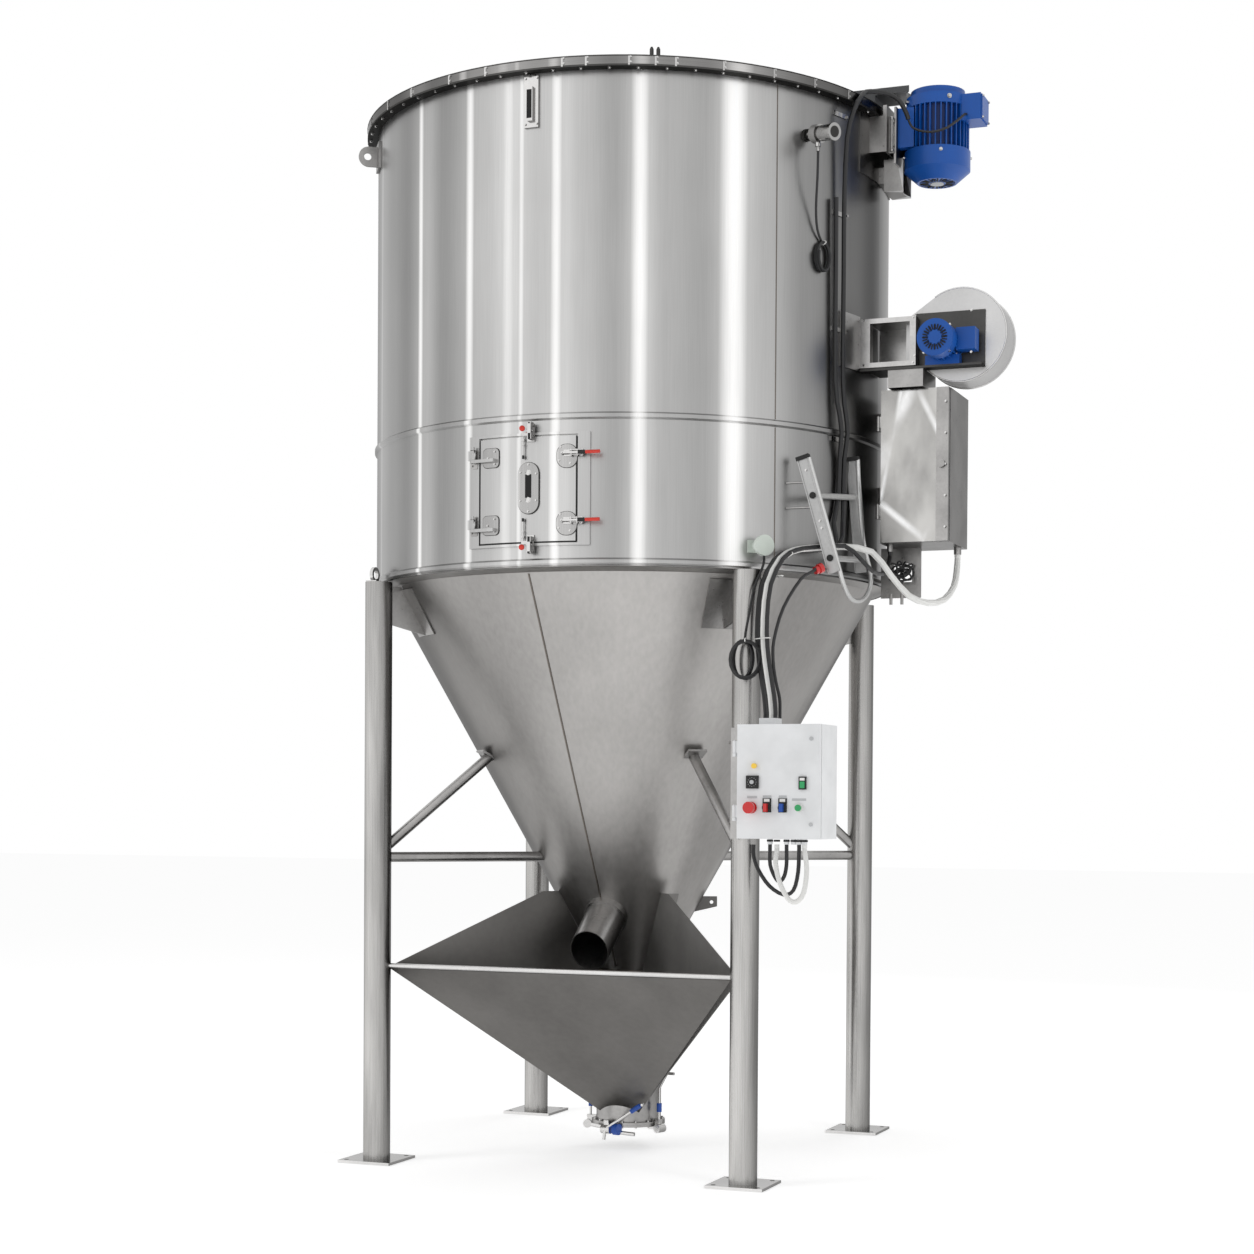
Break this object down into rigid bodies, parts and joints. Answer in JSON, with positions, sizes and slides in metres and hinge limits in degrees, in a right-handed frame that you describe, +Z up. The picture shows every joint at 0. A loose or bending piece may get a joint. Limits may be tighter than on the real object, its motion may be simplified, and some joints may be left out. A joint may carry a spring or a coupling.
{
  "type": "vertical mixer",
  "caption": "Stainless vertical mixer: drum on a cone and tube legs, with front intake hopper, spout, belt motor, warm-air blower, cabinet and control box.",
  "frame": {"origin": "on the floor under the drum's axis", "axes": "+Z up, -Y the front with the hopper rim and the hatch, +X the side with the motor and the blower"},
  "size_m": [2.565, 2.1342, 4.0393],
  "materials": {
    "shell_steel": "satin",
    "cone_steel": "matte",
    "leg_steel": "satin",
    "dark_guard": "satin",
    "motor_blue": "satin",
    "box_white": "satin",
    "housing_grey": "satin",
    "ladder_aluminium": "satin",
    "switch_plastic": "matte",
    "cable_black": "matte",
    "clamp_steel": "satin",
    "sensor_body": "satin",
    "hose_white": "matte"
  },
  "bodies": {
    "plant": {"drum_shell": "shell_steel", "top_flange": "shell_steel", "lid": "shell_steel", "belt_guard": "dark_guard", "cone": "cone_steel", "foot_tube": "shell_steel", "cleanout_cover": "clamp_steel", "cleanout_clamps": "clamp_steel", "hopper_front": "cone_steel", "hopper_left": "cone_steel", "hopper_right": "cone_steel", "hopper_rim": "cone_steel", "discharge_spout": "shell_steel", "leg_front_left": "leg_steel", "leg_front_right": "leg_steel", "leg_rear_right": "leg_steel", "leg_rear_left": "leg_steel", "front_braces": "leg_steel", "rear_braces": "leg_steel", "lifting_eyes": "clamp_steel", "hatch_frame": "clamp_steel", "lid_latch": "clamp_steel", "lifting_lug": "clamp_steel", "main_motor": "motor_blue", "motor_bracket": "clamp_steel", "upper_sensor": "sensor_body", "lower_sensor": "sensor_body", "blower_frame": "clamp_steel", "blower_motor": "motor_blue", "blower_scroll": "housing_grey", "air_duct": "clamp_steel", "heater_cabinet": "clamp_steel", "ladder": "ladder_aluminium", "control_box": "box_white", "control_rails": "clamp_steel", "drum_cables": "cable_black", "control_cables": "cable_black", "sensor_cables": "cable_black", "white_hoses": "hose_white"},
    "hatch": {"hatch_door": "clamp_steel", "hatch_clamps": "clamp_steel", "sight_plate": "clamp_steel"},
    "cabinet_leaf": {"cabinet_door": "clamp_steel"},
    "box_leaf": {"control_door": "box_white", "switch_set": "switch_plastic"}
  },
  "joints": [
    {"name": "hatch_hinge", "type": "hinge", "parent": "plant", "child": "hatch", "pos_m": [-0.21115, -1.00199, 2.459], "axis": [0, 0, -1], "range_deg": [0, 110]},
    {"name": "cabinet_hinge", "type": "hinge", "parent": "plant", "child": "cabinet_leaf", "pos_m": [1.0444, -0.152, 2.61], "axis": [0, 0, -1], "range_deg": [0, 90]},
    {"name": "box_hinge", "type": "hinge", "parent": "plant", "child": "box_leaf", "pos_m": [0.7804, -0.9934, 1.43], "axis": [0, 0, -1], "range_deg": [0, 105]}
  ]
}
